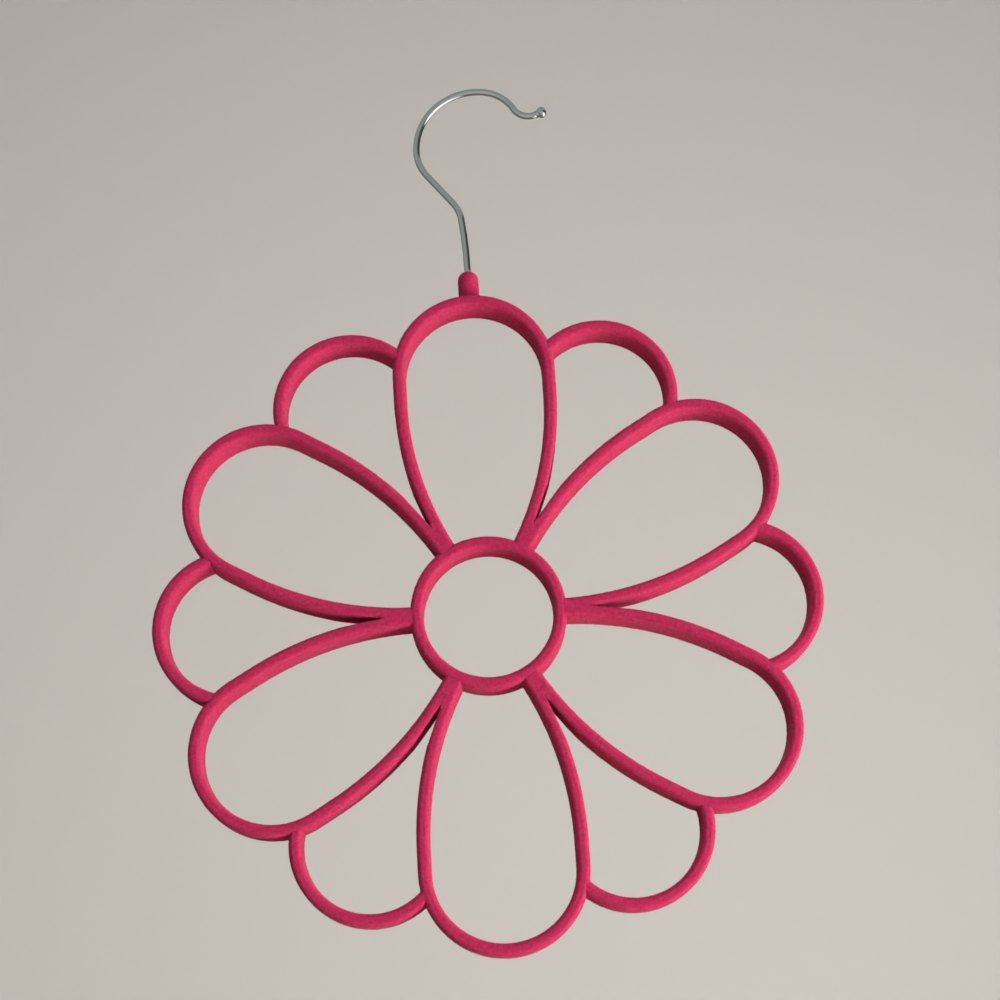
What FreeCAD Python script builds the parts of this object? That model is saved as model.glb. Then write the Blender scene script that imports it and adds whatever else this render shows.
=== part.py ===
import FreeCAD, Part
import math
import os
import Sketcher
from FreeCAD import Placement, Rotation, Vector

# A flower-shaped scarf hanger: an openwork frame of flocked plastic strip and a turning wire hook.
# It hangs as in use: Z is up along the hook's stem, the front faces -Y, and the origin is the
# point under the hook's crown that rests on the wardrobe rod. All sizes are in millimetres.

doc = FreeCAD.newDocument("scarf_hanger")
sizes = doc.addObject("Spreadsheet::Sheet", "sizes")

DRIVING_SIZES = [
    # strip the frame is moulded from
    ("strip_width", 5.1),
    ("edge_rounding", 1.9),
    ("ring_depth", 18.8),
    ("full_petal_depth", 18.4),
    ("half_petal_depth", 18.0),
    # centre lines of the flower
    ("ring_radius", 30.4),
    ("full_petal_reach", 140.0),
    ("full_petal_end_radius", 32.7),
    ("full_petal_side", 9.4),
    ("leg_root_offset", 1.5),
    ("spoke_length", 10.2),
    ("notch_flank_angle", 6.9268),
    ("half_petal_landing_angle", 75.9),
    ("half_petal_rise", 23.8),
    # collar and the steel cup inside it
    ("collar_diameter", 9.0),
    ("collar_height", 13.5),
    ("collar_lip", 0.1),
    ("collar_mouth_gap", 0.4),
    ("cup_cover", 2.2),
    ("cup_wall", 0.8),
    ("cup_floor", 1.0),
    ("cup_mouth_length", 5.0),
    ("swivel_gap", 0.06),
    # hook wire
    ("wire_diameter", 3.0),
    ("head_diameter", 4.8),
    ("head_height", 1.8),
    ("head_play", 0.1),
    ("stem_length", 2.4),
    ("sweep_radius", 200.0),
    ("sweep_angle", 6.8),
    ("neck_radius", 15.4),
    ("neck_lean_angle", 38.0),
    ("slant_length", 18.1),
    ("heel_radius", 19.1),
    ("crown_radius", 27.9),
    ("crown_overrun_angle", 6.8),
    ("shoulder_radius", 18.5),
    ("shoulder_turn_angle", 53.7),
    ("tip_radius", 7.8),
    ("tip_turn_angle", 79.2),
    ("tail_length", 3.4),
    # ball on the free end
    ("ball_diameter", 5.2),
]
for row, (alias, value) in enumerate(DRIVING_SIZES, start=1):
    sizes.set(f"A{row}", str(value))
    sizes.setAlias(f"A{row}", alias)
doc.recompute()

HOUR = 30.0

# Levels and offsets that follow from the driving sizes, measured from the flower's centre.
HALF_STRIP = "sizes.strip_width / 2"
WIRE_R = "sizes.wire_diameter / 2"
RING_OUTER = f"(sizes.ring_radius + {HALF_STRIP})"
END_CENTRE = "(sizes.full_petal_reach - sizes.full_petal_end_radius)"
END_OUTER = f"(sizes.full_petal_end_radius + {HALF_STRIP})"
BEND_START = f"({END_CENTRE} - sizes.full_petal_side)"


def beside_midway(run, aside):
    """A point at a run along the plane midway to the next petal, and aside from it towards this one."""
    return (f"({run} * sin({HOUR}deg) - {aside} * cos({HOUR}deg))",
            f"({run} * cos({HOUR}deg) + {aside} * sin({HOUR}deg))")


# A leg bends in from the loop's side to the ring's centre line, close beside the plane midway to
# the next petal; the bend's radius follows from the two ends.
ROOT_RUN = "sqrt(sizes.ring_radius ^ 2 - sizes.leg_root_offset ^ 2)"
ROOT_X, ROOT_Z = beside_midway(ROOT_RUN, "sizes.leg_root_offset")
LEG_IN = f"(sizes.full_petal_end_radius - {ROOT_X})"
LEG_DROP = f"({BEND_START} - {ROOT_Z})"
LEG_RADIUS = f"(({LEG_IN} ^ 2 + {LEG_DROP} ^ 2) / (2 * {LEG_IN}))"

# Two neighbouring legs make one spoke, up to a notch whose flanks run on until the legs part. A flank
# opens by the leg's own slant, from root to bend, less the angle between the flank and the leg.
NOTCH_RUN = f"({RING_OUTER} + sizes.spoke_length)"
FLANK_RUN = f"(2 * {NOTCH_RUN})"
LEG_SLANT = f"({HOUR}deg - atan({LEG_IN} / {LEG_DROP}))"
FLANK_ASIDE = f"({NOTCH_RUN} * tan({LEG_SLANT} - sizes.notch_flank_angle * 1deg))"
WEB_RUN = f"({NOTCH_RUN} + {HALF_STRIP})"

# A half petal is the arc through its landing points on the two full petals' end arcs.
LANDING = f"(sizes.half_petal_landing_angle * 1deg - {HOUR}deg)"
LANDING_X = f"({END_CENTRE} * sin({HOUR}deg) - sizes.full_petal_end_radius * sin({LANDING}))"
LANDING_Z = f"({END_CENTRE} * cos({HOUR}deg) + sizes.full_petal_end_radius * cos({LANDING}))"
HALF_RADIUS = f"(({LANDING_X} ^ 2 + sizes.half_petal_rise ^ 2) / (2 * sizes.half_petal_rise))"
HALF_CENTRE = f"({LANDING_Z} + sizes.half_petal_rise - {HALF_RADIUS})"
HALF_SWEEP = f"2 * acos(({HALF_RADIUS} - sizes.half_petal_rise) / {HALF_RADIUS})"

# Collar, cup and hook, from the top down and from the stem out.
COLLAR_TOP = f"(sizes.full_petal_reach + {HALF_STRIP} + sizes.collar_height)"
CUP_TOP = f"({COLLAR_TOP} - sizes.cup_cover)"
HEAD_SEAT = f"({CUP_TOP} - sizes.cup_mouth_length)"
HEAD_TOP = f"({HEAD_SEAT} - sizes.head_play)"
HEAD_BOTTOM = f"({HEAD_TOP} - sizes.head_height)"
CUP_INSIDE = f"({HEAD_BOTTOM} - sizes.head_play)"
CUP_BOTTOM = f"({CUP_INSIDE} - sizes.cup_floor)"
CUP_BORE = "(sizes.head_diameter / 2 + sizes.swivel_gap)"
CUP_OUTER = f"({CUP_BORE} + sizes.cup_wall)"
CUP_MOUTH = f"({WIRE_R} + sizes.swivel_gap)"
COLLAR_MOUTH = f"({WIRE_R} + sizes.collar_mouth_gap)"
COLLAR_LIP = f"({COLLAR_MOUTH} + sizes.collar_lip)"
COLLAR_R = "(sizes.collar_diameter / 2)"
COLLAR_DOME = f"sqrt({COLLAR_R} ^ 2 - {COLLAR_LIP} ^ 2)"

# Above the collar the wire sweeps gently aside, leans over at the neck and comes upright at the heel.
SWEEP_START = f"({COLLAR_TOP} + sizes.stem_length)"
SWEEP = "(sizes.sweep_angle * 1deg)"
LEAN = "(sizes.neck_lean_angle * 1deg)"
HEEL_X = (f"(sizes.sweep_radius * (1 - cos({SWEEP})) + sizes.neck_radius * (cos({SWEEP}) - cos({LEAN}))"
          f" + sizes.slant_length * sin({LEAN}) + sizes.heel_radius * (1 - cos({LEAN})))")
HEEL_Z = (f"({SWEEP_START} + sizes.sweep_radius * sin({SWEEP})"
          f" + sizes.neck_radius * (sin({LEAN}) - sin({SWEEP}))"
          f" + sizes.slant_length * cos({LEAN}) + sizes.heel_radius * sin({LEAN}))")
SEAT_X = f"(sizes.crown_radius - {HEEL_X})"
SEAT_Z = f"({HEEL_Z} + sizes.crown_radius - {WIRE_R})"


def number(expression):
    return float(sizes.evalExpression(expression))


def new_body(label, hour=0):
    """A body in the flower's own frame, turned to its hour, with the rod seat as the part's origin."""
    body = doc.addObject("PartDesign::Body", label)
    body.Label = label
    body.Placement = Placement(Vector(0, 0, 0), Rotation(Vector(0, 1, 0), HOUR * hour))
    body.setExpression("Placement.Base.x", "-" + SEAT_X)
    body.setExpression("Placement.Base.z", "-" + SEAT_Z)
    return body


def origin_plane(body, role):
    return next(plane for plane in body.Origin.OriginFeatures if plane.Role == role)


def new_sketch(body, name, role, shift=None):
    """A sketch on one of the body's own planes; shift moves it, axis by axis, in the sketch's axes."""
    sketch = body.newObject("Sketcher::SketchObject", name)
    sketch.AttachmentSupport = [(origin_plane(body, role), "")]
    sketch.MapMode = "FlatFace"
    for axis, expression in (shift or {}).items():
        sketch.setExpression(f"AttachmentOffset.Base.{axis}", expression)
    doc.recompute()
    return sketch


def bind(sketch, constraint, name, expression):
    index = sketch.addConstraint(constraint)
    sketch.renameConstraint(index, name)
    sketch.setExpression(f"Constraints.{name}", expression)


def draw(sketch, points, closed=True):
    """Lines and arcs through points (x, y) or (x, y, radius, turn), all given as expressions.

    A radius makes the edge that leaves the point an arc; turn is 1 to the left and -1 to the right.
    """
    spots = [Vector(number(point[0]), number(point[1]), 0) for point in points]
    count = len(points) if closed else len(points) - 1
    begins = []
    for index in range(count):
        start = spots[index]
        end = spots[(index + 1) % len(points)]
        if len(points[index]) == 2:
            sketch.addGeometry(Part.LineSegment(start, end))
            begins.append(1)
            continue
        radius = number(points[index][2])
        turn = points[index][3]
        chord = end - start
        rise = math.sqrt(max(radius ** 2 - (chord.Length / 2) ** 2, 0))
        centre = start + chord * 0.5 + Vector(-chord.y, chord.x, 0).normalize() * rise * turn
        ends = [start, end][::turn]
        angles = [math.atan2(spot.y - centre.y, spot.x - centre.x) for spot in ends]
        sketch.addGeometry(Part.ArcOfCircle(Part.Circle(centre, Vector(0, 0, 1), radius), *angles))
        begins.append(1 if turn > 0 else 2)

    for index in range(count):
        point = points[index]
        at = (-1, 1, index, begins[index])
        bind(sketch, Sketcher.Constraint("DistanceX", *at, spots[index].x), f"x_{index}", point[0])
        bind(sketch, Sketcher.Constraint("DistanceY", *at, spots[index].y), f"y_{index}", point[1])
        if len(point) > 2:
            bind(sketch, Sketcher.Constraint("Radius", index, number(point[2])), f"radius_{index}", point[2])
        finish = 3 - begins[index]
        if closed or index + 1 < count:
            follower = (index + 1) % count
            join = Sketcher.Constraint("Coincident", index, finish, follower, begins[follower])
            sketch.addConstraint(join)
        else:
            at = (-1, 1, index, finish)
            bind(sketch, Sketcher.Constraint("DistanceX", *at, spots[-1].x), "x_end", points[-1][0])
            bind(sketch, Sketcher.Constraint("DistanceY", *at, spots[-1].y), "y_end", points[-1][1])
    doc.recompute()
    return sketch


def strip_section(inner, outer, depth):
    """Outline of the strip's section: across is the depth, up is the distance from a centre."""
    half = f"({depth} / 2)"
    corner = "sizes.edge_rounding"
    return [
        (f"-{half} + {corner}", inner),
        (f"{half} - {corner}", inner, corner, 1),
        (half, f"{inner} + {corner}"),
        (half, f"{outer} - {corner}", corner, 1),
        (f"{half} - {corner}", outer),
        (f"-{half} + {corner}", outer, corner, 1),
        (f"-{half}", f"{outer} - {corner}"),
        (f"-{half}", f"{inner} + {corner}", corner, 1),
    ]


def seat_section(outer, depth):
    """Outline of a filled disc with the strip's rounded rim: what a neighbour leaves free for it."""
    half = f"({depth} / 2)"
    corner = "sizes.edge_rounding"
    return [
        (f"-{half}", "0"),
        (half, "0"),
        (half, f"{outer} - {corner}", corner, 1),
        (f"{half} - {corner}", outer),
        (f"-{half} + {corner}", outer, corner, 1),
        (f"-{half}", f"{outer} - {corner}"),
    ]


def revolve(body, kind, name, sketch, angle=360.0, axis="H_Axis"):
    feature = body.newObject(f"PartDesign::{kind}", name)
    feature.Profile = sketch
    feature.ReferenceAxis = (sketch, [axis])
    feature.Midplane = True
    feature.Angle = angle
    body.Tip = feature
    doc.recompute()
    return feature


def mirror(body, name, originals):
    feature = body.newObject("PartDesign::Mirrored", name)
    feature.Originals = originals
    feature.MirrorPlane = (origin_plane(body, "YZ_Plane"), [""])
    body.Tip = feature
    doc.recompute()
    return feature


def through_pocket(body, name, sketch):
    feature = body.newObject("PartDesign::Pocket", name)
    feature.Profile = sketch
    feature.Type = "ThroughAll"
    feature.Midplane = True
    body.Tip = feature
    doc.recompute()
    return feature


def make_ring():
    body = new_body("centre_ring")
    section = new_sketch(body, "ring_section", "YZ_Plane")
    inner = f"(sizes.ring_radius - {HALF_STRIP})"
    draw(section, strip_section(inner, RING_OUTER, "sizes.ring_depth"))
    revolve(body, "Revolution", "ring_turned", section)
    return body


def make_full_petal(hour):
    """A loop swept round one half with a web at its root, mirrored, then trimmed to its sector."""
    body = new_body(f"full_petal_{hour or 12}_oclock", hour)
    path = new_sketch(body, f"loop_path_{hour}", "XZ_Plane")
    draw(path, [
        ("0", "sizes.full_petal_reach", "sizes.full_petal_end_radius", -1),
        ("sizes.full_petal_end_radius", END_CENTRE),
        ("sizes.full_petal_end_radius", BEND_START, LEG_RADIUS, -1),
        (ROOT_X, ROOT_Z),
    ], closed=False)
    section = new_sketch(body, f"loop_section_{hour}", "YZ_Plane")
    inner = f"(sizes.full_petal_reach - {HALF_STRIP})"
    outer = f"(sizes.full_petal_reach + {HALF_STRIP})"
    draw(section, strip_section(inner, outer, "sizes.full_petal_depth"))
    half_loop = body.newObject("PartDesign::AdditivePipe", f"half_loop_{hour}")
    half_loop.Profile = section
    half_loop.Spine = path
    body.Tip = half_loop
    doc.recompute()

    # The web fills the spoke from the leg's centre line across, flush with the strip's two faces.
    root = new_sketch(body, f"web_outline_{hour}", "XZ_Plane")
    draw(root, [
        (ROOT_X, ROOT_Z),
        beside_midway(ROOT_RUN, "(0 - sizes.leg_root_offset)"),
        beside_midway(WEB_RUN, "(0 - sizes.leg_root_offset)"),
        beside_midway(WEB_RUN, f"({HALF_STRIP})"),
    ])
    web = body.newObject("PartDesign::Pad", f"web_{hour}")
    web.Profile = root
    web.Midplane = True
    web.setExpression("Length", "sizes.full_petal_depth")
    body.Tip = web
    doc.recompute()
    mirror(body, f"loop_{hour}", [half_loop, web])

    # The petal stops at the planes midway to its neighbours, and at the notch's flanks beyond the spoke.
    sector = new_sketch(body, f"sector_{hour}", "XZ_Plane")
    side, up = beside_midway("sizes.full_petal_reach", "0")
    notch_x, notch_z = beside_midway(NOTCH_RUN, "0")
    flank_x, flank_z = beside_midway(FLANK_RUN, FLANK_ASIDE)
    draw(sector, [
        ("0", "0"),
        (notch_x, notch_z),
        (flank_x, flank_z),
        (side, up),
        (side, f"-{side}"),
        (f"-{side}", f"-{side}"),
        (f"-{side}", up),
        (f"-{flank_x}", flank_z),
        (f"-{notch_x}", notch_z),
    ])
    through_pocket(body, f"sector_trim_{hour}", sector)
    seat = new_sketch(body, f"ring_seat_{hour}", "YZ_Plane")
    draw(seat, seat_section(RING_OUTER, "sizes.ring_depth"))
    revolve(body, "Groove", f"ring_trim_{hour}", seat)
    return body


def make_half_petal(hour):
    """An outer arc turned about its own centre, trimmed where it lands on the two full petals."""
    body = new_body(f"half_petal_{hour}_oclock", hour)
    section = new_sketch(body, f"arc_section_{hour}", "YZ_Plane", {"y": HALF_CENTRE})
    inner = f"({HALF_RADIUS} - {HALF_STRIP})"
    outer = f"({HALF_RADIUS} + {HALF_STRIP})"
    draw(section, strip_section(inner, outer, "sizes.half_petal_depth"))
    arc = revolve(body, "Revolution", f"arc_{hour}", section, number(HALF_SWEEP))
    arc.setExpression("Angle", HALF_SWEEP)
    seat = new_sketch(body, f"petal_seat_{hour}", "YZ_Plane", {
        "y": f"{END_CENTRE} * cos({HOUR}deg)",
        "z": f"{END_CENTRE} * sin({HOUR}deg)",
    })
    draw(seat, seat_section(END_OUTER, "sizes.full_petal_depth"))
    trim = revolve(body, "Groove", f"petal_trim_{hour}", seat)
    mirror(body, f"both_trims_{hour}", [trim])
    return body


def make_collar():
    """A domed boss on the top petal, moulded round the steel cup and open above for the wire."""
    body = new_body("hook_collar")
    profile = new_sketch(body, "collar_profile", "XZ_Plane")
    draw(profile, [
        ("0", "sizes.full_petal_reach"),
        (COLLAR_R, "sizes.full_petal_reach"),
        (COLLAR_R, f"{COLLAR_TOP} - {COLLAR_DOME}", COLLAR_R, 1),
        (COLLAR_LIP, COLLAR_TOP),
        (COLLAR_MOUTH, COLLAR_TOP),
        (COLLAR_MOUTH, CUP_TOP),
        (CUP_OUTER, CUP_TOP),
        (CUP_OUTER, CUP_BOTTOM),
        ("0", CUP_BOTTOM),
    ])
    revolve(body, "Revolution", "collar_turned", profile, axis="V_Axis")
    petal_wall = new_sketch(body, "petal_wall", "XZ_Plane")
    petal_wall.addGeometry(Part.Circle(Vector(0, number(END_CENTRE), 0), Vector(0, 0, 1), number(END_OUTER)))
    petal_wall.addConstraint(Sketcher.Constraint("PointOnObject", 0, 3, -2))
    rise = Sketcher.Constraint("DistanceY", -1, 1, 0, 3, number(END_CENTRE))
    bind(petal_wall, rise, "rise", END_CENTRE)
    bind(petal_wall, Sketcher.Constraint("Radius", 0, number(END_OUTER)), "wall", END_OUTER)
    through_pocket(body, "petal_wall_trim", petal_wall)
    return body


def make_cup():
    """A steel cup closed below; its mouth is drawn in over the hook's head and guides the stem."""
    body = new_body("swivel_cup")
    profile = new_sketch(body, "cup_profile", "XZ_Plane")
    draw(profile, [
        ("0", CUP_BOTTOM),
        (CUP_OUTER, CUP_BOTTOM),
        (CUP_OUTER, CUP_TOP),
        (CUP_MOUTH, CUP_TOP),
        (CUP_MOUTH, HEAD_SEAT),
        (CUP_BORE, HEAD_SEAT),
        (CUP_BORE, CUP_INSIDE),
        ("0", CUP_INSIDE),
    ])
    revolve(body, "Revolution", "cup_turned", profile, axis="V_Axis")
    return body


# The hook's wire, run by run from the head up: (straight, length) or (turn, radius, angle).
WIRE_RUNS = [
    ("straight", f"{SWEEP_START} - {HEAD_BOTTOM}"),
    ("left", "sizes.sweep_radius", "sizes.sweep_angle"),
    ("left", "sizes.neck_radius", "sizes.neck_lean_angle - sizes.sweep_angle"),
    ("straight", "sizes.slant_length"),
    ("right", "sizes.heel_radius", "sizes.neck_lean_angle"),
    ("right", "sizes.crown_radius", "90 + sizes.crown_overrun_angle"),
    ("right", "sizes.shoulder_radius", "sizes.shoulder_turn_angle"),
    ("left", "sizes.tip_radius", "sizes.tip_turn_angle"),
    ("straight", "sizes.tail_length"),
]


def draw_wire_path(sketch):
    """Joins the runs end to end, each tangent to the one before, and measures where the wire ends."""
    spot = Vector(0, number(HEAD_BOTTOM), 0)
    heading = math.pi / 2
    previous = None
    for index, run in enumerate(WIRE_RUNS):
        ahead = Vector(math.cos(heading), math.sin(heading), 0)
        if run[0] == "straight":
            end = spot + ahead * number(run[1])
            sketch.addGeometry(Part.LineSegment(spot, end))
            begin = 1
            length = Sketcher.Constraint("Distance", index, 1, index, 2, number(run[1]))
            bind(sketch, length, f"length_{index}", run[1])
        else:
            side = 1 if run[0] == "left" else -1
            radius = number(run[1])
            turn = math.radians(number(run[2]))
            centre = spot + Vector(-ahead.y, ahead.x, 0) * side * radius
            start_angle = heading - side * math.pi / 2
            end_angle = start_angle + side * turn
            end = centre + Vector(math.cos(end_angle), math.sin(end_angle), 0) * radius
            low, high = sorted((start_angle, end_angle))
            circle = Part.Circle(centre, Vector(0, 0, 1), radius)
            sketch.addGeometry(Part.ArcOfCircle(circle, low, high))
            begin = 1 if side > 0 else 2
            heading += side * turn
            bind(sketch, Sketcher.Constraint("Radius", index, radius), f"radius_{index}", run[1])
            bind(sketch, Sketcher.Constraint("Angle", index, turn), f"turn_{index}", f"({run[2]}) * 1deg")
        if previous is None:
            sketch.addConstraint(Sketcher.Constraint("Vertical", index))
            sketch.addConstraint(Sketcher.Constraint("PointOnObject", index, 1, -2))
            foot = Sketcher.Constraint("DistanceY", -1, 1, index, 1, spot.y)
            bind(sketch, foot, "foot", HEAD_BOTTOM)
        else:
            sketch.addConstraint(Sketcher.Constraint("Tangent", index - 1, previous, index, begin))
        previous = 3 - begin
        spot = end
    for axis, place in (("X", spot.x), ("Y", spot.y)):
        reach = Sketcher.Constraint(f"Distance{axis}", -1, 1, len(WIRE_RUNS) - 1, 2, place)
        index = sketch.addConstraint(reach)
        sketch.setDriving(index, False)
        sketch.renameConstraint(index, f"free_end_{axis.lower()}")
    doc.recompute()


def make_hook():
    """Bent wire with an upset head, and the ball pressed on its free end."""
    body = new_body("hook_wire")
    path = new_sketch(body, "wire_path", "XZ_Plane")
    draw_wire_path(path)
    section = new_sketch(body, "wire_section", "XY_Plane", {"z": HEAD_BOTTOM})
    section.addGeometry(Part.Circle(Vector(0, 0, 0), Vector(0, 0, 1), number(WIRE_R)))
    section.addConstraint(Sketcher.Constraint("Coincident", 0, 3, -1, 1))
    bind(section, Sketcher.Constraint("Radius", 0, number(WIRE_R)), "wire", WIRE_R)
    doc.recompute()
    wire = body.newObject("PartDesign::AdditivePipe", "bent_wire")
    wire.Profile = section
    wire.Spine = path
    body.Tip = wire
    doc.recompute()
    head = new_sketch(body, "head_profile", "XZ_Plane")
    draw(head, [
        ("0", HEAD_BOTTOM),
        ("sizes.head_diameter / 2", HEAD_BOTTOM),
        ("sizes.head_diameter / 2", HEAD_TOP),
        ("0", HEAD_TOP),
    ])
    revolve(body, "Revolution", "upset_head", head, axis="V_Axis")

    sphere = doc.addObject("Part::Sphere", "ball")
    sphere.setExpression("Radius", "sizes.ball_diameter / 2")
    sphere.setExpression("Placement.Base.x", f"wire_path.Constraints.free_end_x / 1mm - {SEAT_X}")
    sphere.setExpression("Placement.Base.z", f"wire_path.Constraints.free_end_y / 1mm - {SEAT_Z}")
    ball = doc.addObject("Part::Cut", "hook_ball_tip")
    ball.Label = "hook_ball_tip"
    ball.Base = sphere
    ball.Tool = body
    doc.recompute()
    return [body, ball]


pieces = [make_ring()]
for hour in range(12):
    pieces.append(make_half_petal(hour) if hour % 2 else make_full_petal(hour))
pieces += [make_collar(), make_cup()]
pieces += make_hook()
doc.recompute()

for item in doc.Objects:
    if "Invalid" in item.State or "Error" in item.State:
        raise RuntimeError(f"{item.Label} did not build: {item.State}")
os.makedirs("parts", exist_ok=True)
for piece in pieces:
    if piece.Shape.isNull() or not piece.Shape.isValid() or len(piece.Shape.Solids) != 1:
        raise RuntimeError(f"{piece.Label} is not one valid solid")
    piece.Shape.exportStep(f"parts/{piece.Label}.step")
    print(f"{piece.Label}: {piece.Shape.Volume:.1f} mm3")
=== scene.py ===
# %% [markdown]
# # Scarf hanger with a flower frame
# The hanger is a flower of moulded plastic strip, flocked all over in pink so that scarves do not slip,
# on a chromed wire hook that turns in a collar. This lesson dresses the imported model: it keeps the exact
# solids of the strip, grows the flock on them, and bends a smooth wire for the hook.

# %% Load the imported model
import math

import bmesh
import bpy
from mathutils import Matrix, Vector


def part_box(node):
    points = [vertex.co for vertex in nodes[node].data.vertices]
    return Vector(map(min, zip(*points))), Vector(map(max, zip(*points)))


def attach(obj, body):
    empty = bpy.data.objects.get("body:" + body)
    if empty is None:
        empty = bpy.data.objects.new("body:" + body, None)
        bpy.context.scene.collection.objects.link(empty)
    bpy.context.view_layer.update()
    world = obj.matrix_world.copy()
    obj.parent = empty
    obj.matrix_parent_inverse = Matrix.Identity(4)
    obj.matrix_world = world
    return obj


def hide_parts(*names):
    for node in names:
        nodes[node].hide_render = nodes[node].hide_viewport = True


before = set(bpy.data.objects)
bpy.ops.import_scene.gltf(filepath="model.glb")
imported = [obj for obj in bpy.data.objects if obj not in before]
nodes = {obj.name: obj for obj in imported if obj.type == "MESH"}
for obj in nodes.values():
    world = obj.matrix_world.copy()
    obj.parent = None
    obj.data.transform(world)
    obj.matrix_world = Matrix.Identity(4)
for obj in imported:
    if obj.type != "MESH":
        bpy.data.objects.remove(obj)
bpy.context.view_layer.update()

scene = bpy.context.scene
MM = 0.001
print("solids loaded:", len(nodes))

# %% [markdown]
# ## Small tools
# Paint charts give colours as sRGB hex, but a shader wants linear light, so one function converts them.
# A second function adds a shader or geometry node, sets it and links it, which keeps the trees short.

# %% Colour and node helpers
def linear(hex_code):
    channels = [int(hex_code[i:i + 2], 16) / 255 for i in (1, 3, 5)]
    return tuple(c / 12.92 if c <= 0.04045 else ((c + 0.055) / 1.055) ** 2.4 for c in channels) + (1.0,)


def add_node(tree, kind, inputs=None, **settings):
    node = tree.nodes.new(kind)
    for name, value in settings.items():
        setattr(node, name, value)
    for key, value in (inputs or {}).items():
        if isinstance(value, bpy.types.NodeSocket):
            tree.links.new(value, node.inputs[key])
        else:
            node.inputs[key].default_value = value
    return node


def new_material(name):
    material = bpy.data.materials.new(name)
    material.use_nodes = True
    material.node_tree.nodes.clear()
    return material, material.node_tree


print("middle grey in linear light:", round(linear("#808080")[0], 3))

# %% [markdown]
# ## Stage
# The hanger hangs in front of a plain pale sweep: a floor that curves up into a wall, as in a small photo
# studio. The wall stands far behind, so that a camera that walks round the hanger never meets it. The paper
# is hidden from mirror-like rays, because the chrome is to reflect a room and not a bare studio.

# %% Floor and wall
FLOOR_Z = -1.15
FLOOR_FRONT_Y = -4.0
WALL_Y = 1.70
WALL_TOP_Z = 3.0
HALF_WIDTH = 5.0
COVE = 0.40
COVE_STEPS = 12


def studio_sweep():
    profile = [(FLOOR_FRONT_Y, FLOOR_Z), (WALL_Y - COVE, FLOOR_Z)]
    for step in range(1, COVE_STEPS + 1):
        angle = math.radians(90 * step / COVE_STEPS)
        profile.append((WALL_Y - COVE + COVE * math.sin(angle), FLOOR_Z + COVE * (1 - math.cos(angle))))
    profile.append((WALL_Y, WALL_TOP_Z))
    mesh = bpy.data.meshes.new("studio_sweep")
    verts = [(x, y, z) for y, z in profile for x in (-HALF_WIDTH, HALF_WIDTH)]
    faces = [(2 * i, 2 * i + 1, 2 * i + 3, 2 * i + 2) for i in range(len(profile) - 1)]
    mesh.from_pydata(verts, [], faces)
    mesh.polygons.foreach_set("use_smooth", [True] * len(faces))
    sweep = bpy.data.objects.new("studio_sweep", mesh)
    scene.collection.objects.link(sweep)
    return sweep


sweep = studio_sweep()
sweep.visible_glossy = False
paper, tree = new_material("matt_background_paper")
shade = add_node(tree, "ShaderNodeBsdfPrincipled", {"Base Color": linear("#CFCBC5"), "Roughness": 0.9})
add_node(tree, "ShaderNodeOutputMaterial", {"Surface": shade.outputs["BSDF"]})
sweep.data.materials.append(paper)
print("sweep faces:", len(sweep.data.polygons))

# %% [markdown]
# ## Lamps
# A window-like softbox stands low on the right and a little in front. Walls of the strip that face it are
# bright, the front is half as bright, and walls that face away keep only the light of the room. A weaker
# box above lifts the upper edges, and a narrow one behind does the same for the back. All of them aim at
# the flower's centre.

# %% Softboxes
FLOWER = Vector((-8.144, 0.0, -242.211)) * MM


def softbox(name, place, size, power, spread=180):
    lamp = bpy.data.lights.new(name, "AREA")
    lamp.shape = "RECTANGLE"
    lamp.size, lamp.size_y = size
    lamp.energy = power
    lamp.spread = math.radians(spread)
    box = bpy.data.objects.new(name, lamp)
    box.location = place
    box.rotation_euler = (FLOWER - Vector(place)).to_track_quat("-Z", "Y").to_euler()
    box.visible_camera = False
    box.visible_glossy = False
    scene.collection.objects.link(box)
    return box


lamps = [softbox("window_right", (1.12, -0.52, -0.75), (0.7, 0.9), 44.0),
         softbox("room_above", (-0.15, -0.6, 1.2), (1.2, 1.2), 15.0),
         softbox("room_behind", (0.4, 1.35, 0.8), (1.2, 1.0), 8.0, spread=60)]
print("lamps:", [lamp.name for lamp in lamps])

# %% [markdown]
# ## Room
# Polished wire mirrors what stands round it, so it needs a room: grey walls, a floor that is lighter in
# front, a dim corner at the back left, a dark cupboard on the right and a bright window below it. Each is a
# patch of directions with a soft edge, so a patch needs only an aim, two limits and a colour.

# %% Patches of the room
ROOM_WALLS = ((0.0, "#4A4C49"), (0.1, "#949691"), (0.3, "#8B8D88"), (1.0, "#7A7C78"))
ALL_HEIGHTS = (-1.2, -1.1)
# For each patch: its aim, the cosines and the heights at which it begins and is full, and its colour.
ROOM_PATCHES = {
    "corner": ((-0.70, 0.46, -0.55), (0.48, 0.58), ALL_HEIGHTS, "#5F615D"),
    "floor": ((0.0, -0.82, -0.57), (0.70, 0.95), ALL_HEIGHTS, "#999B95"),
    "cupboard": ((0.97, 0.24, 0.0), (0.15, 0.50), (0.57, 0.47), "#3A3C39"),
    "window": ((0.91, 0.08, -0.41), (0.62, 0.80), (-0.08, -0.18), "#FFFFFF")}

world = bpy.data.worlds.new("pale_room")
scene.world = world
world.use_nodes = True
room_tree = world.node_tree
room_tree.nodes.clear()
way = add_node(room_tree, "ShaderNodeTexCoord").outputs["Generated"]
climb = add_node(room_tree, "ShaderNodeSeparateXYZ", {"Vector": way}).outputs["Z"]


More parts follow.
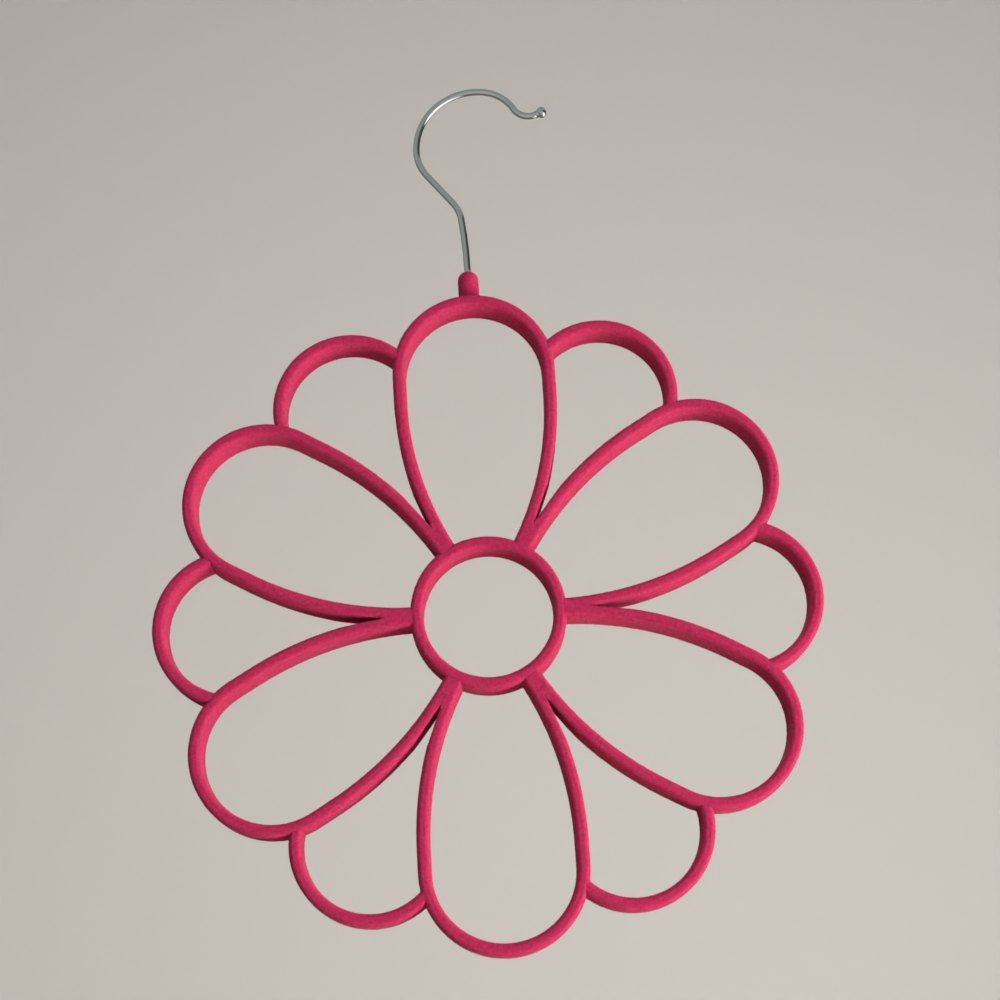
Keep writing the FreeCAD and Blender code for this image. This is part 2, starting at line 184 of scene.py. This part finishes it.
def paint_patch(view, aim, cosines, heights, hex_code):
    share = add_node(room_tree, "ShaderNodeVectorMath", {0: way, 1: Vector(aim).normalized()},
                     operation="DOT_PRODUCT").outputs["Value"]
    share = add_node(room_tree, "ShaderNodeMapRange", {
        "Value": share, "From Min": cosines[0], "From Max": cosines[1]}).outputs[0]
    level = add_node(room_tree, "ShaderNodeMapRange", {
        "Value": climb, "From Min": heights[0], "From Max": heights[1]}).outputs[0]
    share = add_node(room_tree, "ShaderNodeMath", {0: share, 1: level}, operation="MULTIPLY").outputs[0]
    return add_node(room_tree, "ShaderNodeMix", {"Factor": share, "A": view, "B": linear(hex_code)},
                    data_type="RGBA").outputs["Result"]


level = add_node(room_tree, "ShaderNodeMapRange", {"Value": climb, "From Min": -1.0, "From Max": 1.0})
ramp = add_node(room_tree, "ShaderNodeValToRGB", {"Fac": level.outputs[0]})
stops = ramp.color_ramp.elements
stops.remove(stops[1])
for share, hex_code in ROOM_WALLS:
    stop = stops[0] if share == 0 else stops.new(share)
    stop.color = linear(hex_code)
view = ramp.outputs["Color"]
for patch in ROOM_PATCHES.values():
    view = paint_patch(view, *patch)
print("patches of the room:", list(ROOM_PATCHES))

# %% [markdown]
# ## World
# The world gives three answers. A mirror-like ray sees the room, a ray from the camera sees a pale
# backdrop, and every other ray finds a weak light, stronger from above, which keeps the shaded walls of the
# strip from going black.

# %% World
ROOM_LIGHT = 1.7
PALE_LIGHT = 1.0
LIGHT_LOW, LIGHT_HIGH = 0.15, 0.5

paths = add_node(room_tree, "ShaderNodeLightPath").outputs
seen = add_node(room_tree, "ShaderNodeMath", {
    0: paths["Is Camera Ray"], 1: paths["Is Transmission Ray"]}, operation="MAXIMUM")
lift = add_node(room_tree, "ShaderNodeMapRange", {
    "Value": climb, "From Min": 0.2, "From Max": 0.8, "To Min": LIGHT_LOW, "To Max": LIGHT_HIGH})
soft = add_node(room_tree, "ShaderNodeBackground", {
    "Color": linear("#FAF7F3"), "Strength": lift.outputs[0]})
pale = add_node(room_tree, "ShaderNodeBackground", {"Color": linear("#DDDAD5"), "Strength": PALE_LIGHT})
room = add_node(room_tree, "ShaderNodeBackground", {"Color": view, "Strength": ROOM_LIGHT})
both = add_node(room_tree, "ShaderNodeMixShader", {
    0: seen.outputs[0], 1: soft.outputs[0], 2: pale.outputs[0]})
answer = add_node(room_tree, "ShaderNodeMixShader", {
    0: paths["Is Glossy Ray"], 1: both.outputs[0], 2: room.outputs[0]})
add_node(room_tree, "ShaderNodeOutputWorld", {"Surface": answer.outputs[0]})
print("world nodes:", len(room_tree.nodes))

# %% [markdown]
# ## Camera
# The hanger was photographed from a little below its middle, looking up along it. The camera's place and
# turn come from fitting the flower's circles, so its axes are written down and used as a matrix.

# %% Camera
EYE = FLOWER + Vector((-4.2, -884.1, -188.4)) * MM
LOOK = Vector((0.0133, 0.9652, 0.2611)).normalized()
TOP = Vector((0.0600, -0.2614, 0.9634)).normalized()
RIGHT = LOOK.cross(TOP).normalized()
UP = RIGHT.cross(LOOK)
camera_data = bpy.data.cameras.new("camera")
camera_data.lens = 76.31
camera_data.sensor_width = 36.0
camera = bpy.data.objects.new("camera", camera_data)
camera.matrix_world = Matrix.Translation(EYE) @ Matrix((RIGHT, UP, -LOOK)).transposed().to_4x4()
scene.collection.objects.link(camera)
scene.camera = camera
scene.view_settings.view_transform = "Standard"
print("camera to flower:", round((EYE - FLOWER).length, 3), "m")

# %% [markdown]
# ## Flock ground
# The strip is moulded plastic, brushed with glue and covered in short nylon fibres that stand on end. Close
# to the surface one sees their roots: deep pink, a little cloudy where the fibres stand thicker or thinner.
# The solids already have the strip's rounded section, so they stay and only get this finish.

# %% Flock ground material
FLOCKED = [name for name in sorted(nodes) if "petal" in name or name in ("centre_ring", "hook_collar")]

TUFT = 1.5 * MM
TUFT_DEPTH = 0.3 * MM

# Glue and fibre roots on moulded plastic: matt, and broken up at the size of a tuft.
ground, tree = new_material("flock_roots_on_moulded_plastic")
place = add_node(tree, "ShaderNodeTexCoord").outputs["Object"]
tufts = add_node(tree, "ShaderNodeTexNoise", {"Vector": place, "Scale": 1 / TUFT, "Detail": 2.0})
tone = add_node(tree, "ShaderNodeMapRange", {
    "Value": tufts.outputs["Fac"], "From Min": 0.3, "From Max": 0.7})
colour = add_node(tree, "ShaderNodeMix", {
    "Factor": tone.outputs[0], "A": linear("#991F43"), "B": linear("#AE2D52")}, data_type="RGBA")
bump = add_node(tree, "ShaderNodeBump", {
    "Height": tufts.outputs["Fac"], "Strength": 0.4, "Distance": TUFT_DEPTH})
shade = add_node(tree, "ShaderNodeBsdfPrincipled", {
    "Base Color": colour.outputs["Result"], "Normal": bump.outputs[0], "Roughness": 1.0,
    "Specular IOR Level": 0.1, "Sheen Weight": 0.2, "Sheen Roughness": 0.4,
    "Sheen Tint": linear("#F2608F")})
add_node(tree, "ShaderNodeOutputMaterial", {"Surface": shade.outputs["BSDF"]})
for name in FLOCKED:
    nodes[name].data.materials.clear()
    nodes[name].data.materials.append(ground)
print("flocked members:", len(FLOCKED))

# %% [markdown]
# ## Fibre finish
# A nylon fibre is dyed through. Its colour here is painted dark at the root, as painted shade between its
# neighbours, and light at the tip, as a painted highlight. Every fibre carries a small map of its own:
# along the first axis lies its tone, along the second its height from root to tip. The finish mixes its
# colour from those two numbers.

# %% Fibre material
# The name of the map that every fibre carries.
FIBRE_MAP = "OFBake"

# Dyed nylon flock: matt, with the pale edge that velvet shows where its tips are seen from the side.
fibre, tree = new_material("pink_nylon_flock")
place = add_node(tree, "ShaderNodeUVMap", uv_map=FIBRE_MAP).outputs["UV"]
parts = add_node(tree, "ShaderNodeSeparateXYZ", {"Vector": place})
# Painted shade and highlight: along its height a fibre runs from a dark root, shaded by its neighbours, to
# a lit tip.
root_shade_tip_highlight = add_node(tree, "ShaderNodeMix", {
    "Factor": parts.outputs["Y"], "A": linear("#98153A"), "B": linear("#E9748F")}, data_type="RGBA")
tint = add_node(tree, "ShaderNodeMix", {
    "Factor": parts.outputs["X"], "A": linear("#9A7583"), "B": linear("#FFFFFF")}, data_type="RGBA")
colour = add_node(tree, "ShaderNodeMix", {
    "Factor": 1.0, "A": root_shade_tip_highlight.outputs["Result"], "B": tint.outputs["Result"]},
    data_type="RGBA", blend_type="MULTIPLY")
shade = add_node(tree, "ShaderNodeBsdfPrincipled", {
    "Base Color": colour.outputs["Result"], "Roughness": 0.85, "Specular IOR Level": 0.15,
    "Sheen Weight": 0.2, "Sheen Roughness": 0.4, "Sheen Tint": linear("#F9AFC5")})
add_node(tree, "ShaderNodeOutputMaterial", {"Surface": shade.outputs["BSDF"]})
print("fibre nodes:", len(tree.nodes))

# %% [markdown]
# ## Fibres: sizes
# Real flock is finer than a hair and stands a hundred to the square millimetre. Drawn so fine it would not
# show, so here a fibre is coarser and there are fewer. A tree of Geometry Nodes grows them, and its inputs
# are the sizes that one might want to change from member to member.

# %% Fibre tree: inputs
flock_tree = bpy.data.node_groups.new("grow_flock", "GeometryNodeTree")
sockets = flock_tree.interface
sockets.new_socket("Geometry", in_out="INPUT", socket_type="NodeSocketGeometry")
INPUTS = {}
for title, value in (("Fibres per mm2", 3.8), ("Fibre length", 0.42 * MM), ("Fibre radius", 0.09 * MM),
                     ("Nap lean", 0.22), ("Stray lean", 0.55), ("Nap patch", 1.3 * MM),
                     ("Bore radius", 0.0), ("Pocket radius", 0.0), ("Pocket top", -1.0)):
    socket = sockets.new_socket(title, in_out="INPUT", socket_type="NodeSocketFloat")
    socket.default_value = value
    INPUTS[title] = socket.identifier
INPUTS["Seed"] = sockets.new_socket("Seed", in_out="INPUT", socket_type="NodeSocketInt").identifier
sockets.new_socket("Geometry", in_out="OUTPUT", socket_type="NodeSocketGeometry")
print("fibre inputs:", len(INPUTS))

# %% [markdown]
# ## Fibres: where they stand
# Points are scattered over a member's faces. The collar's bore and the pocket round the cup are never
# brushed with glue and stay bare: a point is kept where it lies outside the pocket, or above the pocket and
# outside the bore. On the other members both radii are zero, so every point is kept.

# %% Fibre tree: points
tree = flock_tree
given = add_node(tree, "NodeGroupInput").outputs
where = add_node(tree, "GeometryNodeInputPosition").outputs[0]
shift = add_node(tree, "ShaderNodeVectorMath", {0: where, 1: (FLOWER.x, 0.0, 0.0)}, operation="SUBTRACT")
level = add_node(tree, "ShaderNodeVectorMath", {0: shift.outputs[0], 1: (1.0, 1.0, 0.0)},
                 operation="MULTIPLY")
off_stem = add_node(tree, "ShaderNodeVectorMath", {0: level.outputs[0]},
                    operation="LENGTH").outputs["Value"]
height = add_node(tree, "ShaderNodeSeparateXYZ", {"Vector": where}).outputs["Z"]
outside = add_node(tree, "FunctionNodeCompare", {"A": off_stem, "B": given["Pocket radius"]},
                   operation="GREATER_EQUAL")
above = add_node(tree, "FunctionNodeCompare", {"A": height, "B": given["Pocket top"]},
                 operation="GREATER_THAN")
lip = add_node(tree, "FunctionNodeCompare", {"A": off_stem, "B": given["Bore radius"]},
               operation="GREATER_EQUAL")
dome = add_node(tree, "FunctionNodeBooleanMath", {0: above.outputs[0], 1: lip.outputs[0]}, operation="AND")
keep = add_node(tree, "FunctionNodeBooleanMath", {0: outside.outputs[0], 1: dome.outputs[0]},
                operation="OR")
density = add_node(tree, "ShaderNodeMath", {0: given["Fibres per mm2"], 1: 1 / MM ** 2},
                   operation="MULTIPLY")
points = add_node(tree, "GeometryNodeDistributePointsOnFaces", {
    "Mesh": given["Geometry"], "Selection": keep.outputs[0], "Density": density.outputs[0],
    "Seed": given["Seed"]})
print("nodes that place fibres:", len(tree.nodes))

# %% [markdown]
# ## Fibres: how they lean
# Flock is shot on by a strong field and stands on end, yet handling lays it this way and that. Each fibre
# follows the surface's normal, a smooth noise that leans a patch of neighbours together, and a chance of
# its own. The noise runs from nought to one, so its middle is taken off first.

# %% Fibre tree: lean
NOISE_MIDDLE = (0.5, 0.5, 0.5)
NAP_GAIN = (4.0, 4.0, 4.0)

patch = add_node(tree, "ShaderNodeMath", {0: 1.0, 1: given["Nap patch"]}, operation="DIVIDE")
nap = add_node(tree, "ShaderNodeTexNoise", {"Scale": patch.outputs[0], "Detail": 2.0})
nap = add_node(tree, "ShaderNodeVectorMath", {0: nap.outputs["Color"], 1: NOISE_MIDDLE},
               operation="SUBTRACT")
nap = add_node(tree, "ShaderNodeVectorMath", {0: nap.outputs[0], 1: NAP_GAIN}, operation="MULTIPLY")
nap = add_node(tree, "ShaderNodeVectorMath", {0: nap.outputs[0], "Scale": given["Nap lean"]},
               operation="SCALE")
stray = add_node(tree, "FunctionNodeRandomValue", {0: (-1.0, -1.0, -1.0), 1: (1.0, 1.0, 1.0), "Seed": 3},
                 data_type="FLOAT_VECTOR")
stray = add_node(tree, "ShaderNodeVectorMath", {0: stray.outputs[0], "Scale": given["Stray lean"]},
                 operation="SCALE")
lean = add_node(tree, "ShaderNodeVectorMath", {0: nap.outputs[0], 1: stray.outputs[0]}, operation="ADD")
stand = add_node(tree, "ShaderNodeVectorMath", {0: points.outputs["Normal"], 1: lean.outputs[0]},
                 operation="ADD")
turn = add_node(tree, "FunctionNodeAlignRotationToVector", {"Vector": stand.outputs[0]}, axis="Z")
print("nodes that place and lean fibres:", len(tree.nodes))

# %% [markdown]
# ## Fibres: one spike, many times
# A fibre is a three-sided spike of four faces, the fewest that still close. It remembers how far along and
# across itself a corner lies, and a copy of it stands on every point, a little larger or smaller by chance.

# %% Fibre tree: spikes
SMALLEST, LARGEST = 0.65, 1.15

spike = add_node(tree, "GeometryNodeMeshCone", {
    "Vertices": 3, "Side Segments": 1, "Radius Top": 0.0, "Radius Bottom": given["Fibre radius"],
    "Depth": given["Fibre length"]}, fill_type="NGON")
spot = add_node(tree, "ShaderNodeSeparateXYZ", {"Vector": where}).outputs
along = add_node(tree, "ShaderNodeMath", {0: spot["Z"], 1: given["Fibre length"]}, operation="DIVIDE")
across = add_node(tree, "ShaderNodeMath", {0: spot["X"], 1: given["Fibre radius"]}, operation="DIVIDE")
spike = add_node(tree, "GeometryNodeStoreNamedAttribute", {
    "Geometry": spike.outputs["Mesh"], "Name": "along", "Value": along.outputs[0]}, data_type="FLOAT")
spike = add_node(tree, "GeometryNodeStoreNamedAttribute", {
    "Geometry": spike.outputs[0], "Name": "across", "Value": across.outputs[0]}, data_type="FLOAT")
size = add_node(tree, "FunctionNodeRandomValue", {2: SMALLEST, 3: LARGEST, "Seed": 5}, data_type="FLOAT")
grown = add_node(tree, "GeometryNodeInstanceOnPoints", {
    "Points": points.outputs["Points"], "Instance": spike.outputs[0], "Rotation": turn.outputs[0],
    "Scale": size.outputs[1]})
print("share of a fibre's full size, from", SMALLEST, "to", LARGEST)

# %% [markdown]
# ## Fibres: their map
# Flock is dyed in the bulk, so neighbours differ a little in tone, and so do patches of them. Each copy
# gets a tone from a noise and from chance. The copies then become one mesh, and every corner's tone and
# height are written to its map, with a margin that keeps them inside it.

# %% Fibre tree: map
BLOTCH = 1.0 * MM
TONE_CHANCE = 0.6
TONE_MARGIN, TONE_SPAN = 0.06, 0.88
HEIGHT_MARGIN, HEIGHT_SPAN = 0.05, 0.9
FIBRE_WIDTH = 0.04
TRACES = ("along", "across", "tone")

blotch = add_node(tree, "ShaderNodeTexNoise", {"Scale": 1 / BLOTCH, "Detail": 1.0})
chance = add_node(tree, "FunctionNodeRandomValue", {2: -TONE_CHANCE, 3: TONE_CHANCE, "Seed": 9},
                  data_type="FLOAT")
tone = add_node(tree, "ShaderNodeMath", {0: blotch.outputs["Fac"], 1: chance.outputs[1]}, operation="ADD",
                use_clamp=True)
grown = add_node(tree, "GeometryNodeStoreNamedAttribute", {
    "Geometry": grown.outputs[0], "Name": "tone", "Value": tone.outputs[0]},
    data_type="FLOAT", domain="INSTANCE")
real = add_node(tree, "GeometryNodeRealizeInstances", {"Geometry": grown.outputs[0]})
along, across, tone = [
    add_node(tree, "GeometryNodeInputNamedAttribute", {"Name": name}, data_type="FLOAT").outputs[0]
    for name in TRACES]
u = add_node(tree, "ShaderNodeMath", {0: tone, 1: TONE_SPAN, 2: TONE_MARGIN}, operation="MULTIPLY_ADD")
u = add_node(tree, "ShaderNodeMath", {0: across, 1: FIBRE_WIDTH, 2: u.outputs[0]}, operation="MULTIPLY_ADD")
v = add_node(tree, "ShaderNodeMath", {0: along, 1: HEIGHT_SPAN, 2: HEIGHT_MARGIN}, operation="MULTIPLY_ADD")
flat = add_node(tree, "ShaderNodeCombineXYZ", {"X": u.outputs[0], "Y": v.outputs[0]})
mapped = add_node(tree, "GeometryNodeStoreNamedAttribute", {
    "Geometry": real.outputs[0], "Name": FIBRE_MAP, "Value": flat.outputs[0]},
    data_type="FLOAT2", domain="CORNER")
smooth = add_node(tree, "GeometryNodeSetShadeSmooth", {"Geometry": mapped.outputs[0], "Shade Smooth": True})
worn = add_node(tree, "GeometryNodeSetMaterial", {"Geometry": smooth.outputs[0], "Material": fibre})
add_node(tree, "NodeGroupOutput", {"Geometry": worn.outputs[0]})
print("fibre tree nodes:", len(tree.nodes))

# %% [markdown]
# ## Growing the flock
# A solid arrives as loose triangles, so a copy is welded first. The tree runs on that copy, and only the
# fibres are kept, as one plain mesh for each member, which keeps every mesh small enough to hand on.

# %% Grow the flock on every member
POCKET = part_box("swivel_cup")
POCKET_SIDE = 0.1 * MM
POCKET_LID = 0.2 * MM
BARE_BORE = 2.1 * MM
LOOSE_CORNERS = 0.002 * MM


def grow_flock(name, seed):
    skin = bpy.data.objects.new(name + "_skin", nodes[name].data.copy())
    scene.collection.objects.link(skin)
    weld = bmesh.new()
    weld.from_mesh(skin.data)
    bmesh.ops.remove_doubles(weld, verts=weld.verts, dist=LOOSE_CORNERS)
    weld.to_mesh(skin.data)
    weld.free()
    growth = skin.modifiers.new("flock", "NODES")
    growth.node_group = flock_tree
    growth[INPUTS["Seed"]] = seed
    if name == "hook_collar":
        growth[INPUTS["Bore radius"]] = BARE_BORE
        growth[INPUTS["Pocket radius"]] = POCKET[1][0] - FLOWER.x + POCKET_SIDE
        growth[INPUTS["Pocket top"]] = POCKET[1][2] + POCKET_LID
    mesh = bpy.data.meshes.new_from_object(skin.evaluated_get(bpy.context.evaluated_depsgraph_get()))
    bpy.data.objects.remove(skin)
    for trace in TRACES:
        mesh.attributes.remove(mesh.attributes[trace])
    flock = bpy.data.objects.new(name + "_flock", mesh)
    scene.collection.objects.link(flock)
    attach(flock, "frame")
    return flock


flocks = [grow_flock(name, seed) for seed, name in enumerate(FLOCKED)]
print("fibre faces:", sum(len(flock.data.polygons) for flock in flocks),
      "most on one member:", max(len(flock.data.polygons) for flock in flocks))

# %% [markdown]
# ## Chrome
# The hook is steel wire under a thin bright layer of nickel and chromium. It has almost no colour of its
# own and mirrors the room in long bands; handling leaves a faint haze that softens them here and there.

# %% Chrome material
HAZE_SPOT = 3.0 * MM

# Bright chromium plate: a mirror with a slightly cool grey tint and a haze in spots of a few millimetres.
chrome, tree = new_material("bright_chrome_plate")
place = add_node(tree, "ShaderNodeTexCoord").outputs["Object"]
haze = add_node(tree, "ShaderNodeTexNoise", {"Vector": place, "Scale": 1 / HAZE_SPOT, "Detail": 3.0})
rough = add_node(tree, "ShaderNodeMapRange", {
    "Value": haze.outputs["Fac"], "From Min": 0.3, "From Max": 0.7, "To Min": 0.07, "To Max": 0.16})
shade = add_node(tree, "ShaderNodeBsdfPrincipled", {
    "Base Color": linear("#CBCECD"), "Metallic": 1.0, "Roughness": rough.outputs[0]})
add_node(tree, "ShaderNodeOutputMaterial", {"Surface": shade.outputs["BSDF"]})
print("chrome nodes:", len(tree.nodes))

# %% [markdown]
# ## The hook's line
# The hook is bent cold from round wire, so its line is a chain of straight runs and arcs, each starting in
# the direction in which the last one ended. Walking along that chain from the foot gives its points.

# %% Walk along the hook
BEND_STEP = 2.0
# Run length or bend radius in millimetres, and the turn in degrees, to the left where positive.
RUNS = ((11.5, 0.0), (200.0, 6.8), (15.4, 31.2), (18.1, 0.0), (19.1, -38.0), (27.9, -96.8), (18.5, -53.7),
        (7.8, 79.2), (3.4, 0.0))


def walk(start, heading, runs):
    line = [Vector(start)]
    for size, turn in runs:
        steps = max(1, round(abs(turn) / BEND_STEP))
        reach = size if turn == 0 else 2 * size * math.sin(math.radians(abs(turn) / steps) / 2)
        for _ in range(steps):
            angle = math.radians(heading + turn / steps / 2)
            line.append(line[-1] + Vector((math.cos(angle), 0.0, math.sin(angle))) * reach * MM)
            heading += turn / steps
    return line, Vector((math.cos(math.radians(heading)), 0.0, math.sin(math.radians(heading))))


foot = Vector((FLOWER.x, 0.0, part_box("hook_wire")[0][2]))
line, tail = walk(foot, 90.0, RUNS)
print("points on the hook:", len(line), "end in mm:", [round(c / MM, 2) for c in line[-1]])

# %% [markdown]
# ## Keeping a rebuilt piece
# A mesh that takes the place of a solid is closed at its seams, turned to face outwards, shaded smooth and
# given its finish. It then rides on its body, and the solid that it stands for is hidden.

# %% Keep a rebuilt piece
CLOSED_SEAM = 0.001 * MM


def keep_mesh(name, mesh, body, stands_for, material):
    weld = bmesh.new()
    weld.from_mesh(mesh)
    bmesh.ops.remove_doubles(weld, verts=weld.verts, dist=CLOSED_SEAM)
    bmesh.ops.recalc_face_normals(weld, faces=weld.faces)
    weld.to_mesh(mesh)
    weld.free()
    mesh.polygons.foreach_set("use_smooth", [True] * len(mesh.polygons))
    mesh.materials.clear()
    mesh.materials.append(material)
    piece = bpy.data.objects.new(name, mesh)
    scene.collection.objects.link(piece)
    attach(piece, body)
    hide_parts(stands_for)
    return piece


print("seams closed within", CLOSED_SEAM / MM, "mm")

# %% [markdown]
# ## Hook wire
# A curve through the points, with a round bevel, gives the wire a smooth skin. The upset head at its foot
# is the same wire made thicker: the curve's radius is larger there and drops at the head's top.

# %% Hook wire
WIRE_RADIUS = 1.5 * MM
HEAD_RADIUS = 2.4 * MM
HEAD_HEIGHT = 1.8 * MM
HEAD_DROP = 0.02 * MM
ROUNDNESS = 6

head = [(foot, HEAD_RADIUS), (foot + Vector((0.0, 0.0, HEAD_HEIGHT)), HEAD_RADIUS)]
stem = [(foot + Vector((0.0, 0.0, HEAD_HEIGHT + HEAD_DROP)), WIRE_RADIUS)]
route = head + stem + [(point, WIRE_RADIUS) for point in line[1:]]
curve = bpy.data.curves.new("hook_line", "CURVE")
curve.dimensions = "3D"
curve.bevel_depth = WIRE_RADIUS
curve.bevel_resolution = ROUNDNESS
curve.use_fill_caps = True
spline = curve.splines.new("POLY")
spline.points.add(len(route) - 1)
for point, (place, radius) in zip(spline.points, route):
    point.co = (*place, 1.0)
    point.radius = radius / WIRE_RADIUS
bent = bpy.data.objects.new("hook_line", curve)
scene.collection.objects.link(bent)
mesh = bpy.data.meshes.new_from_object(bent.evaluated_get(bpy.context.evaluated_depsgraph_get()))
bpy.data.objects.remove(bent)
wire = keep_mesh("chromed_hook_wire", mesh, "hook", "hook_wire", chrome)
print("wire faces:", len(wire.data.polygons))

# %% [markdown]
# ## Ball on the hook's end
# A small bead is pressed on the wire so that the end does not scratch. It is a little shorter than it is
# wide and has a narrow neck where it grips the wire. Its half outline is turned round the wire's end.

# %% Ball tip
BEAD_RADIUS = 2.6 * MM
BEAD_HALF = 2.25 * MM
NECK_RADIUS = 1.75 * MM
NECK_MOUTH = 0.96 * NECK_RADIUS
NECK_END = 1.25 * BEAD_HALF
NECK_EDGE = 1.2 * BEAD_HALF
NECK_ANGLE = -48
ARC_STEP = 6
AROUND = 40


def turned(outline, centre, axis):
    turn = axis.to_track_quat("Z", "Y").to_matrix()
    mesh = bpy.data.meshes.new("turned")
    verts = []
    for along, radius in outline:
        for step in range(AROUND):
            angle = math.tau * step / AROUND
            spot = Vector((radius * math.cos(angle), radius * math.sin(angle), along))
            verts.append(centre + turn @ spot)
    faces = [(ring * AROUND + step, ring * AROUND + (step + 1) % AROUND,
              (ring + 1) * AROUND + (step + 1) % AROUND, (ring + 1) * AROUND + step)
             for ring in range(len(outline) - 1) for step in range(AROUND)]
    mesh.from_pydata(verts, [], faces)
    return mesh


arc = [math.radians(angle) for angle in range(NECK_ANGLE, 90 + ARC_STEP, ARC_STEP)]
outline = [(-NECK_END, 0.0), (-NECK_END, NECK_MOUTH), (-NECK_EDGE, NECK_RADIUS)]
outline += [(BEAD_HALF * math.sin(angle), BEAD_RADIUS * math.cos(angle)) for angle in arc]
bead = turned(outline, line[-1], tail)
ball = keep_mesh("chromed_ball_tip", bead, "hook", "hook_ball_tip", chrome)
print("ball faces:", len(ball.data.polygons))

# %% [markdown]
# ## Swivel cup
# The cup is drawn from plain steel strip and sits out of sight inside the collar. Drawing leaves fine lines
# that scatter its shine.

# %% Drawn steel
DIE_MARK = 0.6 * MM

# Plain drawn steel: grey metal, half matt, with fine marks from the die.
steel, tree = new_material("drawn_steel")
place = add_node(tree, "ShaderNodeTexCoord").outputs["Object"]
marks = add_node(tree, "ShaderNodeTexNoise", {"Vector": place, "Scale": 1 / DIE_MARK, "Detail": 3.0})
rough = add_node(tree, "ShaderNodeMapRange", {"Value": marks.outputs["Fac"], "To Min": 0.25, "To Max": 0.5})
shade = add_node(tree, "ShaderNodeBsdfPrincipled", {
    "Base Color": linear("#B4B4B2"), "Metallic": 1.0, "Roughness": rough.outputs[0]})
add_node(tree, "ShaderNodeOutputMaterial", {"Surface": shade.outputs["BSDF"]})
nodes["swivel_cup"].data.materials.clear()
nodes["swivel_cup"].data.materials.append(steel)
print("cup box:", [[round(c, 4) for c in corner] for corner in POCKET])
